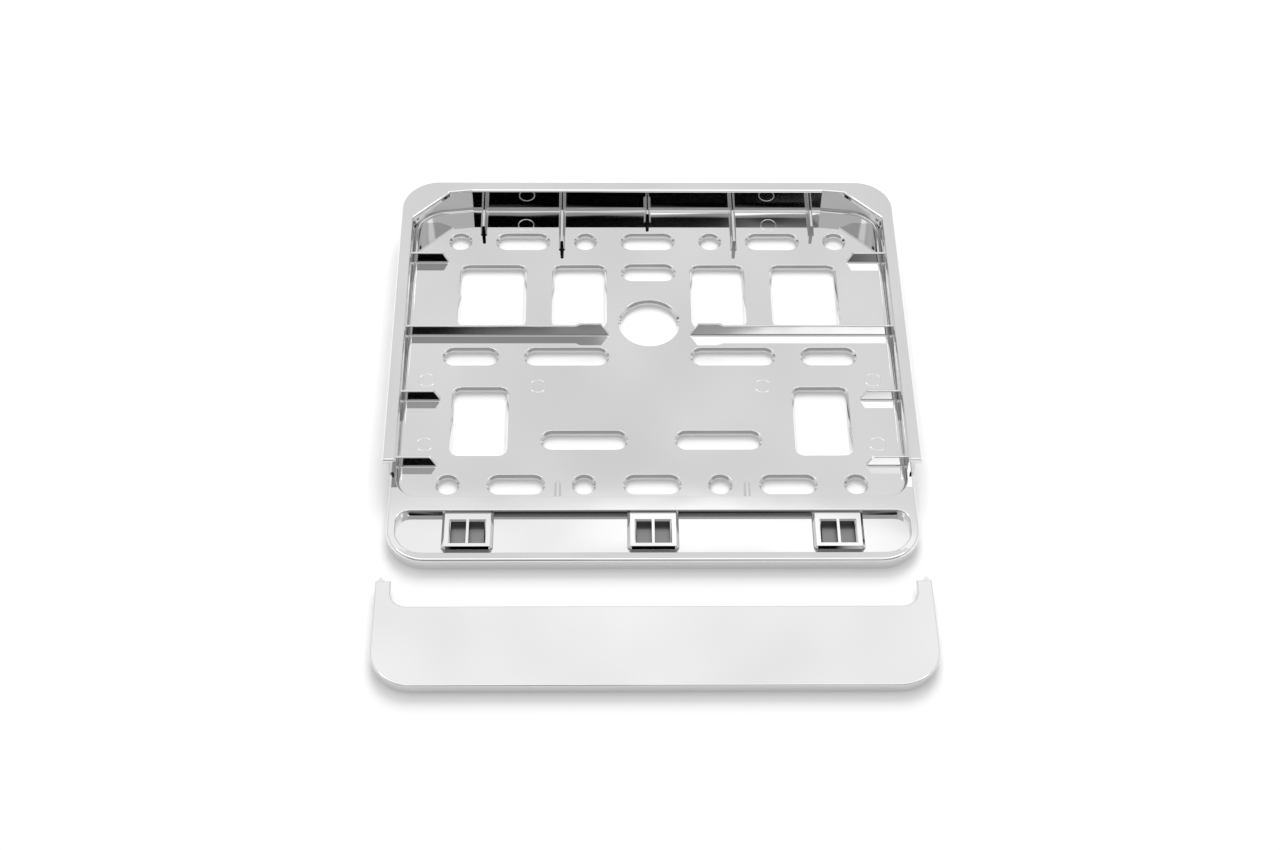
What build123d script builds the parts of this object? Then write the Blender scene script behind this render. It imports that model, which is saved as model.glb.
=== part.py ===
from build123d import *
import math
import os

# Motorcycle number plate that the holder takes, and the play left round it
plate_width = 190.0
plate_height = 150.0
side_play = 0.3
end_play = 0.6

# Moulded walls of the base frame, heights above the back face
floor_thickness = 2.8
wall_thickness = 2.8
ledge_height = 5.4
frame_depth = 14.0
flange_thickness = 2.1
flange_side = 5.1
flange_top = 5.7
flange_corner = 15.0
gusset_leg = 15.4
gusset_corner = 1.5
flange_edge = 0.9
bay_root = 1.6

# Plate bay, and the distances from its top and bottom to the rows of fixing holes
row_top_inset = 18.1
row_low_inset = 7.3
corner_slant = 7.0
corner_slant_length = 12.4
bay_top_corner = 12.5
bay_low_corner = 8.0
side_band_rise = 9.9

# Fixing holes and slots in the floor, measured from the centre of the two rows on the back face
hole_pitch = 25.5
row_count = 2
row_holes = 4
row_slots = 3
hole_diameter = 7.6
slot_width = 7.6
slot_length = 20.4
long_slot_length = 31.7
upper_slot_drop = 17.3
middle_row_y = 0.5
middle_slot_x = 70.1
middle_long_slot_x = 32.6
lower_row_y = -41.6
centre_hole_diameter = 22.8
centre_hole_y = 18.2
hole_edge = 1.0

# Windows that lighten the floor
window_height = 32.2
window_corner = 2.6
upper_window_y = 32.7
outer_window_width = 25.4
outer_window_x = 62.6
inner_window_width = 20.4
inner_window_x = 27.8
lower_window_width = 20.4
lower_window_x = 65.6
lower_window_y = -32.2

# Ribs that carry the plate, all with the same moulded section
rib_base = 1.5
rib_draft = 1.5
rib_edge = 0.35
rib_root = 0.7
rib_height = 5.2
side_rib_reach = 14.4
side_rib_slope = 2.5
high_rib_drop = 29.2
middle_rib_y = -21.3
low_rib_rise = 6.7
long_rib_y = 12.2
long_rib_end = 16.0
long_rib_slope = 3.3
pad_height = 1.2
pad_length = 7.2
pad_slope = 2.4
pad_corner = 2.8
top_rib_reach = {0.0: 7.4, 35.1: 22.8, 67.2: 14.4}
ledge_rib_x = 35.3
ledge_rib_reach = 8.0
ledge_rib_height = 1.8

# Lower band: ledge, trough, rim and the latch sockets
ledge_width = 6.9
trough_height = 18.7
trough_floor = 2.4
trough_side = 3.6
trough_low_corner = 10.0
trough_high_corner = 5.0
rim_width = 4.0
trough_draft = 2.5
band_corner = 15.0
band_edge = 1.0
ledge_edge = 0.4
socket_count = 3
socket_pitch = 68.2
socket_width = 19.0
socket_reach = 16.4
socket_height = 1.8
socket_draft = 8.0
socket_edge = 0.8
socket_corner = 1.6
socket_mouth_width = 12.4
socket_mouth_height = 9.6
socket_mouth_edge = 0.6
socket_mouth_margin = 3.7
socket_floor = 0.8
latch_bar_width = 1.0
latch_bar_depth = 0.8

# Cover strip that clips over the lower band, shown taken off
strip_height = 33.6
strip_face = 2.0
skirt_thickness = 1.8
skirt_depth = 2.5
strip_corner = 15.0
strip_setback = 1.3
strip_gap = 8.2
strip_edge = 0.5
ear_width = 5.7
ear_play = 0.2
ear_root = 6.0
tongue_height = 2.4
tongue_width = 3.8
tongue_thickness = 1.3
tongue_play = 0.2
prong_thickness = 1.4
prong_play = 0.4
prong_barb = 0.6
barb_play = 0.1

# Places worked out from the sizes above
bay_width = plate_width + 2 * side_play
bay_height = plate_height + 2 * end_play
row_span = bay_height - row_top_inset - row_low_inset
bay_top = row_span / 2 + row_top_inset
bay_bottom = bay_top - bay_height
side_band_end = bay_bottom + side_band_rise
upper_slot_y = row_span / 2 - upper_slot_drop
side_rib_rows = (bay_top - high_rib_drop, middle_rib_y, side_band_end + low_rib_rise)
wall_x = bay_width / 2 + wall_thickness
wall_top = bay_top + wall_thickness
flange_x = bay_width / 2 + flange_side
flange_top_y = bay_top + flange_top
flange_under = frame_depth - flange_thickness
trough_top = bay_bottom - ledge_width
trough_bottom = trough_top - trough_height
band_bottom = trough_bottom - rim_width
rib_top = floor_thickness + rib_height
socket_top = trough_floor + socket_height
socket_y = trough_top - socket_mouth_margin - socket_mouth_height / 2

ear_height = side_band_end - bay_bottom + strip_setback - ear_play
strip_top = band_bottom - strip_gap - ear_height
strip_bottom = strip_top - strip_height
ear_shoulder = strip_top + ear_height
strip_shift = strip_top - (bay_bottom - strip_setback)
prong_y = socket_y + strip_shift
prong_reach = socket_mouth_height - 2 * prong_play
prong_x = latch_bar_width / 2 + prong_play
barb_height = socket_top - latch_bar_depth - barb_play - (ledge_height - skirt_depth)


# Outline round the bay at a distance from its inner wall. The top wall slants towards each upper corner
def shell_outline(distance, bottom, low_corner):
    slant = math.radians(corner_slant)
    corner_reach = bay_top_corner * (1 - math.sin(slant)) + corner_slant_length * math.cos(slant)
    slant_start = bay_width / 2 - corner_reach + distance * math.tan(slant / 2)
    slant_length = corner_slant_length - distance * math.tan(slant / 2)
    with BuildSketch() as outline:
        with BuildLine():
            top_edge = Line((0, bay_top + distance), (slant_start, bay_top + distance))
            slanted = PolarLine(top_edge @ 1, slant_length, -corner_slant)
            corner = JernArc(slanted @ 1, slanted % 1, bay_top_corner + distance, corner_slant - 90)
            Polyline(corner @ 1, (bay_width / 2 + distance, bottom), (0, bottom), top_edge @ 0)
        make_face()
        mirror(about=Plane.YZ)
        fillet(outline.vertices().group_by(Axis.Y)[0], low_corner)
    return outline.sketch


# Section of a rib above the floor, drafted, softened on top and flared at its root
def rib_section(height):
    with BuildSketch() as section:
        with Locations((0, height / 2)):
            Trapezoid(rib_base, height, 90 - rib_draft)
        with Locations((0, -floor_thickness / 4)):
            Rectangle(rib_base + 4 * rib_root, floor_thickness / 2)
        chamfer(section.vertices().group_by(Axis.Y)[-1], rib_edge)
        floor_points = section.vertices().filter_by_position(Axis.Y, 0, 0)
        chamfer(floor_points.filter_by(lambda point: abs(point.X) < rib_base), rib_root)
    return section.sketch


# Outlines that more than one feature of the base frame uses
band_outline = shell_outline(wall_thickness, band_bottom, band_corner)
bay_outline = shell_outline(0, bay_bottom, bay_low_corner)

with BuildSketch() as trough_outline:
    with Locations((0, (trough_top + trough_bottom) / 2)):
        Rectangle(2 * (wall_x - trough_side), trough_height)
    fillet(trough_outline.vertices().group_by(Axis.Y)[-1], trough_high_corner)
    fillet(trough_outline.vertices().group_by(Axis.Y)[0], trough_low_corner)

# The three sides above the lower band, which the wall and the flange follow
upper_height = flange_top_y - side_band_end
with BuildSketch() as upper_zone:
    with Locations((0, side_band_end + upper_height / 2)):
        Rectangle(2 * flange_x, upper_height)
    fillet(upper_zone.vertices().group_by(Axis.Y)[-1], flange_corner)

# Mouth of the bay at the flange, with a corner gusset each side
mouth_height = bay_top - side_band_end
with BuildSketch() as bay_mouth:
    with Locations((0, side_band_end + mouth_height / 2)):
        Rectangle(bay_width, mouth_height)
    chamfer(bay_mouth.vertices().group_by(Axis.Y)[-1], gusset_leg)
    add(bay_outline, mode=Mode.INTERSECT)
    straight_edges = bay_mouth.edges().filter_by(GeomType.LINE)
    gusset_edges = straight_edges - straight_edges.filter_by(Axis.X) - straight_edges.filter_by(Axis.Y)
    fillet(gusset_edges.vertices(), gusset_corner)

# Pair of short ribs off the side walls, each sloped at its free end
side_rib_end = bay_width / 2 - side_rib_reach
rib_root_x = wall_x - wall_thickness / 2
side_rib_plane = Plane((side_rib_end, 0, floor_thickness), (0, 1, 0), (1, 0, 0))
with BuildPart() as side_ribs:
    with BuildSketch(side_rib_plane) as side_rib:
        add(rib_section(rib_height))
    extrude(amount=rib_root_x - side_rib_end)
    with BuildSketch(Plane.XZ) as side_rib_slope_cut:
        with BuildLine():
            Polyline(
                (side_rib_end, floor_thickness),
                (side_rib_end, rib_top),
                (side_rib_end + side_rib_slope, rib_top),
                close=True,
            )
        make_face()
    extrude(amount=rib_base, both=True, mode=Mode.SUBTRACT)
    mirror(about=Plane.YZ)

# Pair of long ribs above the middle, each with a raised pad near its free end
pad_end = long_rib_end + long_rib_slope
pad_top = rib_top + pad_height
long_rib_plane = Plane((long_rib_end, long_rib_y, floor_thickness), (0, 1, 0), (1, 0, 0))
with BuildPart() as long_ribs:
    for rib_size, rib_length in (
        (rib_height, rib_root_x - long_rib_end),
        (rib_height + pad_height, long_rib_slope + pad_length + pad_slope),
    ):
        with BuildSketch(long_rib_plane) as long_rib:
            add(rib_section(rib_size))
        extrude(amount=rib_length)
    with BuildSketch(Plane.XZ.offset(-long_rib_y)) as pad_outline:
        with BuildLine():
            Polyline(
                (rib_root_x, floor_thickness / 2),
                (long_rib_end, floor_thickness / 2),
                (long_rib_end, floor_thickness),
                (pad_end, pad_top),
                (pad_end + pad_length, pad_top),
                (pad_end + pad_length + pad_slope, rib_top),
                (rib_root_x, rib_top),
                close=True,
            )
        make_face()
        fillet(pad_outline.vertices().filter_by_position(Axis.Z, pad_top, pad_top), pad_corner)
    extrude(amount=2 * rib_base, both=True, mode=Mode.INTERSECT)
    mirror(about=Plane.YZ)

with BuildPart() as base_frame:
    # Floor, pierced by fixing holes, slots and windows
    add(band_outline)
    extrude(amount=floor_thickness)
    with BuildSketch() as piercings:
        with GridLocations(2 * hole_pitch, row_span, row_holes, row_count):
            Circle(hole_diameter / 2)
        with GridLocations(2 * hole_pitch, row_span, row_slots, row_count):
            SlotOverall(slot_length, slot_width)
        with Locations((0, upper_slot_y), (-middle_slot_x, middle_row_y), (middle_slot_x, middle_row_y)):
            SlotOverall(slot_length, slot_width)
        with Locations((-middle_long_slot_x, middle_row_y), (middle_long_slot_x, middle_row_y)):
            SlotOverall(long_slot_length, slot_width)
        with Locations((-hole_pitch, lower_row_y), (hole_pitch, lower_row_y)):
            SlotOverall(long_slot_length, slot_width)
        with Locations((0, centre_hole_y)):
            Circle(centre_hole_diameter / 2)
        with Locations((-outer_window_x, upper_window_y), (outer_window_x, upper_window_y)):
            RectangleRounded(outer_window_width, window_height, window_corner)
        with Locations((-inner_window_x, upper_window_y), (inner_window_x, upper_window_y)):
            RectangleRounded(inner_window_width, window_height, window_corner)
        with Locations((-lower_window_x, lower_window_y), (lower_window_x, lower_window_y)):
            RectangleRounded(lower_window_width, window_height, window_corner)
    extrude(amount=floor_thickness, mode=Mode.SUBTRACT)
    floor_face = base_frame.faces().sort_by(Axis.Z)[-1]
    chamfer([edge for wire in floor_face.inner_wires() for edge in wire.edges()], hole_edge)

    # Low ledge and rim all round, with the trough sunk between them
    with BuildSketch(Plane.XY.offset(floor_thickness)) as low_ring:
        add(band_outline)
        add(bay_outline, mode=Mode.SUBTRACT)
    extrude(amount=ledge_height - floor_thickness)
    with BuildSketch(Plane.XY.offset(trough_floor)) as trough:
        add(trough_outline.sketch)
    extrude(amount=ledge_height - trough_floor, taper=-trough_draft, mode=Mode.SUBTRACT)

    # Tall wall on three sides, and the flange with its corner gussets
    with BuildSketch(Plane.XY.offset(ledge_height)) as tall_wall:
        add(upper_zone.sketch)
        add(band_outline, mode=Mode.INTERSECT)
        add(bay_outline, mode=Mode.SUBTRACT)
    extrude(amount=flange_under - ledge_height)
    with BuildSketch(Plane.XY.offset(flange_under)) as flange:
        add(upper_zone.sketch)
        add(bay_mouth.sketch, mode=Mode.SUBTRACT)
    extrude(amount=flange_thickness)

    # Softened edges of the flange and the lower band, and the rounded root of the bay
    chamfer(base_frame.faces().sort_by(Axis.Z)[-1].edges(), flange_edge)
    ledge_edges = base_frame.edges().filter_by_position(Axis.Z, ledge_height, ledge_height)
    chamfer(ledge_edges.filter_by(Axis.X).sort_by(Axis.Y)[1:4], ledge_edge)
    rim_edges = base_frame.edges().filter_by_position(Axis.Z, ledge_height, ledge_height)
    chamfer(rim_edges.filter_by(Axis.X).sort_by(Axis.Y)[0], band_edge)
    floor_edges = base_frame.faces().filter_by_position(Axis.Z, floor_thickness, floor_thickness)
    fillet(floor_edges.sort_by(SortBy.AREA)[-1].outer_wire().edges(), bay_root)

    # Notches at the ends of the tall wall, which take the tongues of the strip
    notch_width = tongue_width + tongue_play - (flange_x - wall_x)
    notch_length = tongue_height + tongue_play
    with BuildSketch(Plane.XY.offset(ledge_height)) as tongue_notches:
        with Locations((0, side_band_end + notch_length / 2)):
            with GridLocations(2 * wall_x - notch_width, 0, 2, 1):
                Rectangle(notch_width, notch_length)
    extrude(amount=tongue_thickness + tongue_play, mode=Mode.SUBTRACT)

    # Ribs off the side walls, and ribs down from the top wall
    with Locations(*[(0, y, 0) for y in side_rib_rows]):
        add(side_ribs.part)
    add(long_ribs.part)
    for x, reach in top_rib_reach.items():
        for rib_x in {-x, x}:
            top_rib_plane = Plane((rib_x, bay_top - reach, floor_thickness), (-1, 0, 0), (0, 1, 0))
            with BuildSketch(top_rib_plane) as top_rib:
                add(rib_section(rib_height))
            extrude(amount=reach + wall_thickness / 2)

    # Two small ribs up from the ledge
    for rib_x in (-ledge_rib_x, ledge_rib_x):
        ledge_rib_plane = Plane((rib_x, bay_bottom - ledge_edge, floor_thickness), (-1, 0, 0), (0, 1, 0))
        with BuildSketch(ledge_rib_plane) as ledge_rib:
            add(rib_section(ledge_rib_height))
        extrude(amount=ledge_rib_reach)

    # Latch sockets: softened rim, blind mouth and a bar across the middle
    with BuildSketch(Plane.XY.offset(trough_floor)) as socket_rims:
        with Locations((0, trough_top + (ledge_width / 2 - socket_reach) / 2)):
            with GridLocations(socket_pitch, 0, socket_count, 1):
                RectangleRounded(socket_width, socket_reach + ledge_width / 2, socket_corner)
    extrude(amount=socket_height, taper=socket_draft)
    socket_edges = base_frame.edges().filter_by_position(Axis.Z, socket_top, socket_top)
    chamfer(socket_edges.filter_by(lambda edge: edge.center().Y < trough_top - socket_edge), socket_edge)
    with BuildSketch(Plane.XY.offset(socket_floor)) as socket_mouths:
        with Locations((0, socket_y)):
            with GridLocations(socket_pitch, 0, socket_count, 1):
                Rectangle(socket_mouth_width, socket_mouth_height)
    extrude(amount=socket_top - socket_floor, mode=Mode.SUBTRACT)
    rim_faces = base_frame.faces().filter_by_position(Axis.Z, socket_top, socket_top)
    mouth_wires = [wire for face in rim_faces for wire in face.inner_wires()]
    chamfer([edge for wire in mouth_wires for edge in wire.edges()], socket_mouth_edge)
    with BuildSketch(Plane.XY.offset(socket_top - latch_bar_depth)) as latch_bars:
        with Locations((0, socket_y)):
            with GridLocations(socket_pitch, 0, socket_count, 1):
                Rectangle(latch_bar_width, socket_mouth_height + 2 * socket_mouth_edge)
    extrude(amount=latch_bar_depth)

# Outline of the strip's face: a bar with an ear at each end that meets the flange
ear_inner = flange_x - ear_width
with BuildSketch() as strip_outline:
    with BuildLine():
        Polyline(
            (0, strip_top),
            (ear_inner, strip_top),
            (ear_inner, ear_shoulder),
            (flange_x, ear_shoulder),
            (flange_x, strip_bottom),
            (0, strip_bottom),
            close=True,
        )
    make_face()
    mirror(about=Plane.YZ)
    fillet(strip_outline.vertices().group_by(Axis.Y)[0], strip_corner)
    fillet(strip_outline.vertices().filter_by_position(Axis.Y, strip_top, strip_top), ear_root)

# Space inside the strip's skirt, open at the top edge
skirt_bottom = strip_bottom + skirt_thickness
with BuildSketch() as strip_inside:
    with Locations((0, (ear_shoulder + skirt_bottom) / 2)):
        Rectangle(2 * (flange_x - skirt_thickness), ear_shoulder - skirt_bottom)
    fillet(strip_inside.vertices().group_by(Axis.Y)[0], strip_corner - skirt_thickness)

# Section of a pair of prongs, with the barbs facing each other at the tips
with BuildSketch() as prong_pair:
    with BuildLine():
        Polyline(
            (prong_x, skirt_depth + strip_face / 2),
            (prong_x, barb_height),
            (prong_x - prong_barb, barb_height),
            (prong_x, 0),
            (prong_x + prong_thickness, 0),
            (prong_x + prong_thickness, skirt_depth + strip_face / 2),
            close=True,
        )
    make_face()
    mirror(about=Plane.YZ)

with BuildPart() as cover_strip:
    with BuildSketch(Plane.XY.offset(skirt_depth)) as strip_plate:
        add(strip_outline.sketch)
    extrude(amount=strip_face)
    fillet(cover_strip.faces().sort_by(Axis.Z)[-1].edges(), strip_edge)

    # Skirt down the sides and the lower edge, which wraps the lower band
    with BuildSketch() as skirt:
        add(strip_outline.sketch)
        add(strip_inside.sketch, mode=Mode.SUBTRACT)
    extrude(amount=skirt_depth)

    # Tongues on the ears, which tuck in under the flange
    with BuildSketch(Plane.XY.offset(skirt_depth)) as tongues:
        with BuildLine():
            Polyline(
                (flange_x - tongue_width, ear_shoulder),
                (flange_x - tongue_width / 2, ear_shoulder + tongue_height),
                (flange_x, ear_shoulder),
                (flange_x, ear_shoulder - ear_width),
                (flange_x - tongue_width, ear_shoulder - ear_width),
                close=True,
            )
        make_face()
        mirror(about=Plane.YZ)
    extrude(amount=tongue_thickness)

    # Pairs of barbed prongs that clip over the bars in the sockets
    with BuildSketch(Plane.XZ.offset(-prong_y)) as prongs:
        with GridLocations(socket_pitch, 0, socket_count, 1):
            add(prong_pair.sketch)
    extrude(amount=prong_reach / 2, both=True)

os.makedirs("parts", exist_ok=True)
for piece, name in ((base_frame, "base_frame"), (cover_strip, "cover_strip")):
    piece.part.label = name
    export_step(piece.part, f"parts/{name}.step")
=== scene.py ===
import math

import bmesh
import bpy
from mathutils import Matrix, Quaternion, Vector


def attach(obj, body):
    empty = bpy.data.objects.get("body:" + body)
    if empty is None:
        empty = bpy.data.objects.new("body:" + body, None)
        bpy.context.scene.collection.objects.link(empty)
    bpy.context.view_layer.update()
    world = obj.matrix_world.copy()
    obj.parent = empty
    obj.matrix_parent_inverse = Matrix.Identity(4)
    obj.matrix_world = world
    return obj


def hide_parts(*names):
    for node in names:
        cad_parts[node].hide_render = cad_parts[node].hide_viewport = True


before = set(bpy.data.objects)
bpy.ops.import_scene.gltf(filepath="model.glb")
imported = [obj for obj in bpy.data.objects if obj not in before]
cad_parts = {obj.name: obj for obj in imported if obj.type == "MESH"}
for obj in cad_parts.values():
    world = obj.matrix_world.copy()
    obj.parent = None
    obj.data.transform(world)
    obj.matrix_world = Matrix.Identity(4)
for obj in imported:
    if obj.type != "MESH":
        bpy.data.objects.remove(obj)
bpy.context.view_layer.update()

scene = bpy.context.scene
scene.view_settings.view_transform = "Standard"
mm = 0.001
print("loaded", ", ".join(sorted(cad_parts)))


# The standard sRGB curve
def linear(hexColour, alpha=1.0):
    parts = [int(hexColour[i:i + 2], 16) / 255 for i in (1, 3, 5)]
    return [p / 12.92 if p <= 0.04045 else ((p + 0.055) / 1.055) ** 2.4 for p in parts] + [alpha]


def addNode(tree, kind, settings=None, inputs=None):
    node = tree.nodes.new(kind)
    for name, value in (settings or {}).items():
        setattr(node, name, value)
    for socket, value in (inputs or {}).items():
        if isinstance(value, bpy.types.NodeSocket):
            tree.links.new(value, node.inputs[socket])
        else:
            node.inputs[socket].default_value = value
    return node


def newMaterial(name):
    material = bpy.data.materials.new(name)
    material.use_nodes = True
    material.node_tree.nodes.clear()
    return material


# Chrome-plated ABS, electroplated over a moulded skin: a clean neutral mirror, with the faint
# waves that a moulding has where it shrank behind the ribs
plating = {
    "colour": "#ECECEC",
    "roughness": 0.035,
    "waveLength": 26.0,    # mm, one swell of the skin
    "waveHeight": 0.035,   # mm
    "frameWaves": 1.0,     # share of that height on the frame
    "stripWaves": 0.6,     # share of it on the strip, which is flatter
}


def chromePlatedAbs(name, waveShare):
    material = newMaterial(name)
    tree = material.node_tree
    place = addNode(tree, "ShaderNodeTexCoord")
    waves = addNode(tree, "ShaderNodeTexNoise", inputs={
        "Vector": place.outputs["Object"],
        "Scale": 1 / (plating["waveLength"] * mm),
        "Detail": 1.0,
    })
    skin = addNode(tree, "ShaderNodeBump", inputs={
        "Strength": 1.0,
        "Distance": plating["waveHeight"] * waveShare * mm,
        "Height": waves.outputs["Fac"],
    })
    chrome = addNode(tree, "ShaderNodeBsdfPrincipled", inputs={
        "Base Color": linear(plating["colour"]),
        "Metallic": 1.0,
        "Roughness": plating["roughness"],
        "Normal": skin.outputs["Normal"],
    })
    addNode(tree, "ShaderNodeOutputMaterial", inputs={"Surface": chrome.outputs["BSDF"]})
    return material


frameChrome = chromePlatedAbs("chromePlatedAbsFrame", plating["frameWaves"])
stripChrome = chromePlatedAbs("chromePlatedAbsStrip", plating["stripWaves"])
print("chrome made")

# The two mouldings, taken over from the solids with clean shading
moulding = {
    "mergeWithin": 0.002,         # mm
    "cutWithin": 0.0002,          # mm
    "flatWithin": 0.2,            # degrees, triangles of one flat face
    "level": 0.9999,              # part of the normal that points up, above which a face counts as flat
    "sloping": 0.9,               # the same, below which it can be a bevel
    "upright": 0.15,              # the same, below which it counts as a wall
    "sharpFrom": 52.0,            # degrees, the corners that stay crisp; softened edges shade as round
    "turnFrom": 40.0,             # degrees, seen from above, between a rib and a wall
    "turnShows": 0.1,             # part of a normal that points sideways, for such a turn to count
    "blendWithin": 60.0,          # degrees, faces that shade as one at a shared corner
    "lipFrom": 30.0,              # degrees, for the bevels below, which stay flat
    "holeLip": (1.8, 2.6),        # mm above the back, the bevels round the holes, under a rounded line
    "holeLipDraft": 0.84,         # share of the upward part of those bevels' normals
    "socketLip": (3.4, 4.2),      # mm above the back, the bevels of the latch sockets
    "slantFrom": 72.0,            # mm across, where the top wall turns towards the corners
    "slantWithin": 0.1,           # mm
    "slantAlong": (79.4, 81.2),   # mm along, the top wall
}
# Walls that a moulding's shrinkage leaves a little bowed: where they lie along the holder, in mm, and the
# share of their slant across and of their draft that the light shows
bowed = {
    "longRibs": {"along": (11.0, 13.4), "across": 1.0, "draft": 0.33},
    "lowestSideRibs": {"along": (-54.8, -52.4), "across": 1.0, "draft": 1.5},
    "upperTroughWall": {"along": (-77.7, -76.5), "across": 1.0, "draft": 2.2},
    "topWall": {"along": moulding["slantAlong"], "across": 1.8, "draft": 1.0},
}
# The rim of the lower band, whose top leans back a little
rim = {
    "along": (-99.2, -95.0),   # mm
    "above": 5.0,              # mm above the back
    "lean": 0.017,             # part of the normal that points to the back
}
softened, wall, flat = range(3)   # the ranks of faces


def isWithin(value, span):
    low, high = span
    return low < value < high


def isLip(face, name):
    height = face.calc_center_median().z / mm
    tilts = moulding["upright"], moulding["sloping"]
    return isWithin(height, moulding[name]) and isWithin(abs(face.normal.z), tilts)


def isSlantStart(vert):
    away = abs(abs(vert.co.x) / mm - moulding["slantFrom"])
    return away < moulding["slantWithin"] and isWithin(vert.co.y / mm, moulding["slantAlong"])


def isCrisp(edge):
    if not edge.is_manifold or all(isSlantStart(vert) for vert in edge.verts):
        return True
    headings = [face.normal.to_2d() for face in edge.link_faces]
    if all(heading.length > moulding["turnShows"] for heading in headings):
        if headings[0].angle(headings[1]) > math.radians(moulding["turnFrom"]):
            return True
    angle = math.degrees(edge.calc_face_angle())
    lips = [isLip(face, "holeLip") or isLip(face, "socketLip") for face in edge.link_faces]
    return angle > moulding["sharpFrom"] or (angle > moulding["lipFrom"] and any(lips) and not all(lips))


# Flat faces keep their own normal up to the edge, walls come next, and softened edges blend between
def rank(face):
    tilt = abs(face.normal.z)
    return flat if tilt > moulding["level"] else wall if tilt < moulding["upright"] else softened


# What the light shows at a corner of the faces that shade as one there
def shownNormal(vert, faces):
    leading = max(rank(face) for face in faces)
    normal = Vector()
    for face in faces:
        if rank(face) == leading:
            corner = next(loop for loop in face.loops if loop.vert == vert)
            normal += face.normal * corner.calc_angle()
    along, above = vert.co.y / mm, vert.co.z / mm
    for bow in bowed.values():
        if leading == wall and abs(normal.x) < abs(normal.y) and isWithin(along, bow["along"]):
            normal = Vector((normal.x * bow["across"], normal.y, normal.z * bow["draft"]))
    if leading == flat and isWithin(along, rim["along"]) and above > rim["above"]:
        normal.y += normal.z * rim["lean"]
    if leading == softened and any(isLip(face, "holeLip") for face in faces):
        normal.z *= moulding["holeLipDraft"]
    return normal.normalized()


def cornerNormals(form):
    blendWithin = math.radians(moulding["blendWithin"])
    normals = {}
    for vert in form.verts:
        waiting = set(vert.link_faces)
        while waiting:
            fan = [waiting.pop()]   # the faces round the corner up to the next crisp edges
            for face in fan:
                for edge in face.edges:
                    if vert in edge.verts and edge.smooth:
                        reached = [other for other in edge.link_faces if other in waiting]
                        waiting.difference_update(reached)
                        fan.extend(reached)
            for face in fan:
                near = [other for other in fan if face.normal.angle(other.normal) < blendWithin]
                normals[face.index, vert.index] = shownNormal(vert, near)
    return normals


def takeOver(nodeName, pieceName, material):
    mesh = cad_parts[nodeName].data.copy()
    mesh.name = pieceName
    if "custom_normal" in mesh.attributes:
        mesh.attributes.remove(mesh.attributes["custom_normal"])
    form = bmesh.new()
    form.from_mesh(mesh)
    bmesh.ops.remove_doubles(form, verts=form.verts, dist=moulding["mergeWithin"] * mm)
    bmesh.ops.dissolve_limit(form, angle_limit=math.radians(moulding["flatWithin"]),
                             verts=form.verts, edges=form.edges)
    form.normal_update()
    lips = [face for face in form.faces if isLip(face, "holeLip")]
    if lips:
        lipParts = {part for face in lips for part in (face, *face.edges, *face.verts)}
        bmesh.ops.bisect_plane(form, geom=list(lipParts), dist=moulding["cutWithin"] * mm,
                               plane_co=(0, 0, moulding["holeLip"][1] * mm), plane_no=(0, 0, 1))
    bmesh.ops.triangulate(form, faces=form.faces)
    form.normal_update()
    for face in form.faces:
        face.smooth = True
    for edge in form.edges:
        edge.smooth = not isCrisp(edge)
    form.verts.index_update()
    form.faces.index_update()
    normals = cornerNormals(form)
    form.to_mesh(mesh)
    form.free()
    mesh.normals_split_custom_set([
        normals[face.index, vert] for face in mesh.polygons for vert in face.vertices])
    mesh.materials.clear()
    mesh.materials.append(material)
    piece = bpy.data.objects.new(pieceName, mesh)
    scene.collection.objects.link(piece)
    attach(piece, "root")
    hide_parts(nodeName)
    print(pieceName, len(mesh.polygons), "faces")
    return piece


platedFrame = takeOver("base_frame", "platedFrame", frameChrome)
platedStrip = takeOver("cover_strip", "platedStrip", stripChrome)

# Painted shade in the latch sockets and on their own walls: a dark, rough metal stands in for the
# shade deep in the socket mouths and for the dark outline round the sockets' feet
recess = {
    "colour": "#8C8C8C",
    "roughness": 0.38,
    "centres": (-68.2, 0.0, 68.2),   # mm across
    "middle": -85.6,                 # mm along
    "mouth": (12.4, 9.6),            # mm
    "top": 3.6,                      # mm above the back
    "margin": 0.05,                  # mm
    "outside": (10.5, 9.0),          # mm from the centre, within which the sockets' own walls lie
    "foot": (2.35, 3.45),            # mm above the back, those walls
}
paintedShade = newMaterial("paintedShadeInRecess")
tree = paintedShade.node_tree
shadeMetal = addNode(tree, "ShaderNodeBsdfPrincipled", inputs={
    "Base Color": linear(recess["colour"]), "Metallic": 1.0, "Roughness": recess["roughness"]})
addNode(tree, "ShaderNodeOutputMaterial", inputs={"Surface": shadeMetal.outputs["BSDF"]})
platedFrame.data.materials.append(paintedShade)
darkened = 0
halfAcross, halfAlong = (size / 2 + recess["margin"] for size in recess["mouth"])
outAcross, outAlong = recess["outside"]
mouthTop = recess["top"] + recess["margin"]
# The faces that get the painted shade: those inside a socket's mouth, and the sockets' walls near their
# foot
for face in platedFrame.data.polygons:
    corners = [platedFrame.data.vertices[i].co / mm for i in face.vertices]
    reach = [(min(abs(c.x - centre) for centre in recess["centres"]), abs(c.y - recess["middle"]), c.z)
             for c in corners]
    inMouth = all(x < halfAcross and y < halfAlong and z < mouthTop for x, y, z in reach)
    onWall = abs(face.normal.z) < moulding["upright"] and all(
        x < outAcross and y < outAlong and isWithin(z, recess["foot"]) for x, y, z in reach)
    if inMouth or onWall:
        face.material_index = 1
        darkened += 1
print("sockets dulled", darkened, "faces")

# Rings that the ejector pins of the mould leave on the floor
pinMark = {
    "radius": 3.15,        # mm
    "lineWidth": 0.8,      # mm, most of it sunk
    "floorTop": 2.8,       # mm above the back
    "proud": 0.07,         # mm
    "ringSteps": 48,
    "lineSteps": 8,
    "places": ((50.0, 72.4), (43.6, -14.7), (86.7, -11.6), (86.0, -43.6)),   # mm, the same on both sides
}


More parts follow.
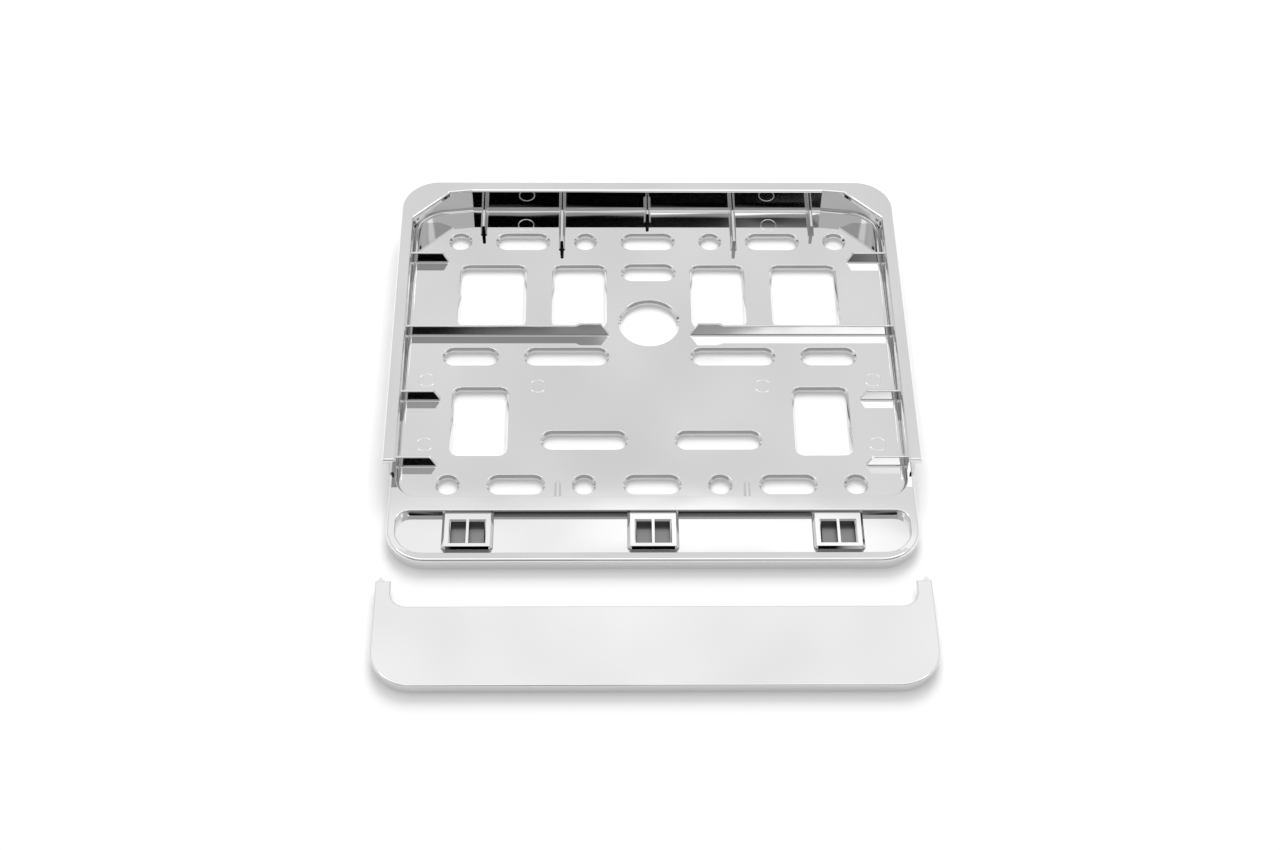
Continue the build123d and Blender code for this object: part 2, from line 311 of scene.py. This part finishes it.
def ringTree():
    tree = bpy.data.node_groups.new("pinRings", "GeometryNodeTree")
    tree.interface.new_socket("Geometry", in_out="INPUT", socket_type="NodeSocketGeometry")
    for name in ("Ring Radius", "Line Radius"):
        tree.interface.new_socket(name, in_out="INPUT", socket_type="NodeSocketFloat")
    tree.interface.new_socket("Finish", in_out="INPUT", socket_type="NodeSocketMaterial")
    tree.interface.new_socket("Geometry", in_out="OUTPUT", socket_type="NodeSocketGeometry")
    given = addNode(tree, "NodeGroupInput")
    path = addNode(tree, "GeometryNodeCurvePrimitiveCircle", inputs={
        "Resolution": pinMark["ringSteps"], "Radius": given.outputs["Ring Radius"]})
    line = addNode(tree, "GeometryNodeCurvePrimitiveCircle", inputs={
        "Resolution": pinMark["lineSteps"], "Radius": given.outputs["Line Radius"]})
    ring = addNode(tree, "GeometryNodeCurveToMesh", inputs={
        "Curve": path.outputs["Curve"], "Profile Curve": line.outputs["Curve"]})
    rings = addNode(tree, "GeometryNodeInstanceOnPoints", inputs={
        "Points": given.outputs["Geometry"], "Instance": ring.outputs["Mesh"]})
    real = addNode(tree, "GeometryNodeRealizeInstances", inputs={"Geometry": rings.outputs["Instances"]})
    finished = addNode(tree, "GeometryNodeSetMaterial", inputs={
        "Geometry": real.outputs["Geometry"], "Material": given.outputs["Finish"]})
    addNode(tree, "NodeGroupOutput", inputs={"Geometry": finished.outputs["Geometry"]})
    return tree


lineRadius = pinMark["lineWidth"] / 2
ringHeight = pinMark["floorTop"] + pinMark["proud"] - lineRadius
pinPlaces = [(side * x * mm, y * mm, ringHeight * mm) for x, y in pinMark["places"] for side in (-1, 1)]
placeMesh = bpy.data.meshes.new("pinPlaces")
placeMesh.from_pydata(pinPlaces, [], [])
pinRings = bpy.data.objects.new("pinRings", placeMesh)
scene.collection.objects.link(pinRings)
maker = pinRings.modifiers.new("rings", "NODES")
maker.node_group = ringTree()
sizes = {"Ring Radius": pinMark["radius"] * mm, "Line Radius": lineRadius * mm, "Finish": frameChrome}
for socket in maker.node_group.interface.items_tree:
    if socket.in_out == "INPUT" and socket.name in sizes:
        maker[socket.identifier] = sizes[socket.name]
made = bpy.data.meshes.new_from_object(pinRings.evaluated_get(bpy.context.evaluated_depsgraph_get()))
pinRings.modifiers.clear()
pinRings.data = made
made.name = "pinRings"
for face in made.polygons:
    face.use_smooth = True
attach(pinRings, "root")
print("pin rings", len(made.polygons), "faces")

# Table top: a matt white laminate that keeps the soft shadow and is white where the camera or the
# chrome looks at it
table = {
    "colour": "#EBEBEB",
    "side": 12.0,          # m
    "lift": 0.11,          # added white for what looks at the table
}
tableTop = newMaterial("mattWhiteLaminate")
tree = tableTop.node_tree
rays = addNode(tree, "ShaderNodeLightPath")
looks = addNode(tree, "ShaderNodeMath", {"operation": "MAXIMUM"}, {
    0: rays.outputs["Is Camera Ray"], 1: rays.outputs["Is Glossy Ray"]})
looks = addNode(tree, "ShaderNodeMath", {"operation": "MAXIMUM"}, {
    0: looks.outputs["Value"], 1: rays.outputs["Is Transmission Ray"]})
lift = addNode(tree, "ShaderNodeMath", {"operation": "MULTIPLY"}, {
    0: looks.outputs["Value"], 1: table["lift"]})
matt = addNode(tree, "ShaderNodeBsdfDiffuse", inputs={"Color": linear(table["colour"])})
glow = addNode(tree, "ShaderNodeEmission", inputs={"Strength": lift.outputs["Value"]})
both = addNode(tree, "ShaderNodeAddShader", inputs={0: matt.outputs["BSDF"], 1: glow.outputs["Emission"]})
addNode(tree, "ShaderNodeOutputMaterial", inputs={"Surface": both.outputs["Shader"]})

half = table["side"] / 2
tableCorners = [(-half, -half, 0), (half, -half, 0), (half, half, 0), (-half, half, 0)]
tableMesh = bpy.data.meshes.new("tableTop")
tableMesh.from_pydata(tableCorners, [], [(0, 1, 2, 3)])
tableMesh.materials.append(tableTop)
tableObject = bpy.data.objects.new("tableTop", tableMesh)
scene.collection.objects.link(tableObject)
print("table laid")

# White room: paler with height, grey on the near side, and lit a little unevenly. Where no unit is given,
# a place is a part of a direction, which has a length of 1
room = {
    "horizon": 1.0,                 # as the picture's background shows it
    "skirting": 0.62,
    "walls": 0.78,
    "wallsUp": (0.02, 0.35),        # between the skirting and the walls
    "overhead": 1.0,
    "overheadAt": (52.0, 53.3),     # degrees above the table, between the walls and overhead
    "ceiling": 0.95,
    "ceilingAt": (62.0, 72.0),      # degrees above the table, between overhead and the ceiling
    "nearSide": 0.45,               # share of the light on the near side
    "nearAlong": (-0.42, 0.05),     # between the near side and the rest
    "unevenness": 0.06,             # share by which the light varies, in soft patches
    "patchSize": 0.05,
    "noiseSpan": (0.25, 0.75),      # most of what the noise gives
    "frontAlong": (-0.05, -0.25),   # from nothing to full, for the patches in front
    "backAlong": (0.05, 0.25),      # the same, for the patches behind
    "leanUp": (0.705, 0.745),       # the heights between which an edge leans over to the right
    "lean": (-0.13, 0.085),
}
# Patches that are lighter or darker than the room around them. Each goes from nothing, to full, to where
# it fades, to nothing. Its two edges are measured across, to either side of the middle or along the lean
patches = {
    "topLight": {   # a strip of light, which draws the softened edges
        "light": 3.0, "side": "back",
        "up": (0.868, 0.880, 0.905, 0.920),
    },
    "lampGlow": {
        "light": 1.22, "side": "back", "measures": ("across", "across"),
        "across": (-0.03, 0.02, 0.10, 0.16), "up": (0.792, 0.800, 0.806, 0.8095),
    },
    "flanks": {
        "light": 0.57, "side": "front", "measures": ("aside", "aside"),
        "across": (0.13, 0.19, 0.80, 0.95), "up": (0.60, 0.68, 0.90, 1.00),
    },
    "lowFlanks": {
        "light": 0.05, "side": "front", "measures": ("aside", "aside"),
        "across": (0.45, 0.58, 0.80, 0.95), "up": (-0.30, -0.15, 0.12, 0.185),
    },
    "highFlanks": {
        "light": 1.1, "side": "front", "measures": ("aside", "aside"),
        "across": (0.50, 0.58, 0.68, 0.76), "up": (0.66, 0.69, 0.76, 0.80),
    },
    "paleToTheRight": {
        "light": 1.45, "side": "front", "measures": ("leaning", "across"),
        "across": (0.080, 0.109, 0.15, 0.20), "up": (0.70, 0.73, 0.80, 0.87),
    },
    "darkByTheCamera": {
        "light": 0.0, "side": "front", "measures": ("across", "leaning"),
        "across": (-0.16, -0.11, -0.040, 0.01), "up": (0.59, 0.685, 0.737, 0.760),
    },
}

world = bpy.data.worlds.new("whiteRoom")
world.use_nodes = True
scene.world = world
tree = world.node_tree
tree.nodes.clear()
smooth = {"interpolation_type": "SMOOTHSTEP"}
place = addNode(tree, "ShaderNodeTexCoord")
heading = addNode(tree, "ShaderNodeSeparateXYZ", inputs={"Vector": place.outputs["Generated"]})
across, along, up = (heading.outputs[axis] for axis in "XYZ")
overheadUp, ceilingUp = (
    [math.sin(math.radians(angle)) for angle in room[name]] for name in ("overheadAt", "ceilingAt"))
light = room["skirting"]
for (start, full), rise in (
        (room["wallsUp"], room["walls"] - room["skirting"]),
        (overheadUp, room["overhead"] - room["walls"]),
        (ceilingUp, room["ceiling"] - room["overhead"])):
    step = addNode(tree, "ShaderNodeMapRange", smooth, {
        "Value": up, "From Min": start, "From Max": full, "To Min": 0.0, "To Max": rise})
    light = addNode(tree, "ShaderNodeMath", {"operation": "ADD"}, {
        0: light, 1: step.outputs["Result"]}).outputs["Value"]
near = addNode(tree, "ShaderNodeMapRange", smooth, {
    "Value": along, "From Min": room["nearAlong"][0], "From Max": room["nearAlong"][1],
    "To Min": room["nearSide"], "To Max": 1.0})
cloud = addNode(tree, "ShaderNodeTexNoise", inputs={
    "Vector": place.outputs["Generated"], "Scale": 1 / room["patchSize"], "Detail": 1.0})
varied = addNode(tree, "ShaderNodeMapRange", inputs={
    "Value": cloud.outputs["Fac"], "From Min": room["noiseSpan"][0], "From Max": room["noiseSpan"][1],
    "To Min": 1 - room["unevenness"], "To Max": 1 + room["unevenness"]})
for share in (near, varied):
    light = addNode(tree, "ShaderNodeMath", {"operation": "MULTIPLY"}, {
        0: light, 1: share.outputs["Result"]}).outputs["Value"]

sides = {}
for side in ("front", "back"):
    start, full = room[side + "Along"]
    sides[side] = addNode(tree, "ShaderNodeMapRange", smooth, {
        "Value": along, "From Min": start, "From Max": full}).outputs["Result"]
aside = addNode(tree, "ShaderNodeMath", {"operation": "ABSOLUTE"}, {0: across}).outputs["Value"]
lean = addNode(tree, "ShaderNodeMapRange", inputs={
    "Value": up, "From Min": room["leanUp"][0], "From Max": room["leanUp"][1],
    "To Min": room["lean"][0], "To Max": room["lean"][1]})
leaning = addNode(tree, "ShaderNodeMath", {"operation": "ADD"}, {
    0: across, 1: lean.outputs["Result"]}).outputs["Value"]
measured = {"across": across, "aside": aside, "leaning": leaning, "up": up}
for patch in patches.values():
    share = sides[patch["side"]]
    limits = [(*patch["measures"], patch["across"])] if "across" in patch else []
    limits.append(("up", "up", patch["up"]))
    for rising, falling, (start, full, fade, end) in limits:
        rise = addNode(tree, "ShaderNodeMapRange", smooth, {
            "Value": measured[rising], "From Min": start, "From Max": full})
        fall = addNode(tree, "ShaderNodeMapRange", smooth, {
            "Value": measured[falling], "From Min": end, "From Max": fade})
        for edge in (rise, fall):
            share = addNode(tree, "ShaderNodeMath", {"operation": "MULTIPLY"}, {
                0: share, 1: edge.outputs["Result"]}).outputs["Value"]
    light = addNode(tree, "ShaderNodeMix", {"data_type": "FLOAT"}, {
        "Factor": share, "A": light, "B": patch["light"]}).outputs["Result"]
rays = addNode(tree, "ShaderNodeLightPath")
seen = addNode(tree, "ShaderNodeMix", {"data_type": "FLOAT"}, {
    "Factor": rays.outputs["Is Camera Ray"], "A": light, "B": room["horizon"]})
sky = addNode(tree, "ShaderNodeBackground", inputs={
    "Color": (1, 1, 1, 1), "Strength": seen.outputs["Result"]})
addNode(tree, "ShaderNodeOutputWorld", inputs={"Surface": sky.outputs["Background"]})

# One wide soft lamp behind the holder, which lays the shadow to the front
lamp = {
    "place": (0.1, 1.2, 0.95),  # m
    "side": 0.9,                # m
    "power": 20.0,              # W
}
softLamp = bpy.data.lights.new("softLamp", "AREA")
softLamp.size = lamp["side"]
softLamp.energy = lamp["power"]
lampObject = bpy.data.objects.new("softLamp", softLamp)
lampObject.location = lamp["place"]
lampObject.rotation_euler = (-Vector(lamp["place"])).to_track_quat("-Z", "Y").to_euler()
lampObject.visible_glossy = False
scene.collection.objects.link(lampObject)
print("room lit")

shot = {
    "place": (-18.7, -566.0, 653.2),   # mm
    "target": (-4.2, -32.0, 0.0),      # mm
    "turn": 1.157,                     # degrees about the line of sight
    "lens": 61.83,                     # mm
    "sensor": 36.0,                    # mm wide
    "clipStart": 0.01,                 # m
}
camera = bpy.data.cameras.new("camera")
camera.sensor_width = shot["sensor"]
camera.lens = shot["lens"]
camera.clip_start = shot["clipStart"]
cameraObject = bpy.data.objects.new("camera", camera)
cameraObject.location = Vector(shot["place"]) * mm
cameraObject.rotation_mode = "QUATERNION"
sight = (Vector(shot["target"]) - Vector(shot["place"])).to_track_quat("-Z", "Y")
cameraObject.rotation_quaternion = sight @ Quaternion((0, 0, 1), math.radians(shot["turn"]))
scene.collection.objects.link(cameraObject)
scene.camera = cameraObject
print("camera placed")
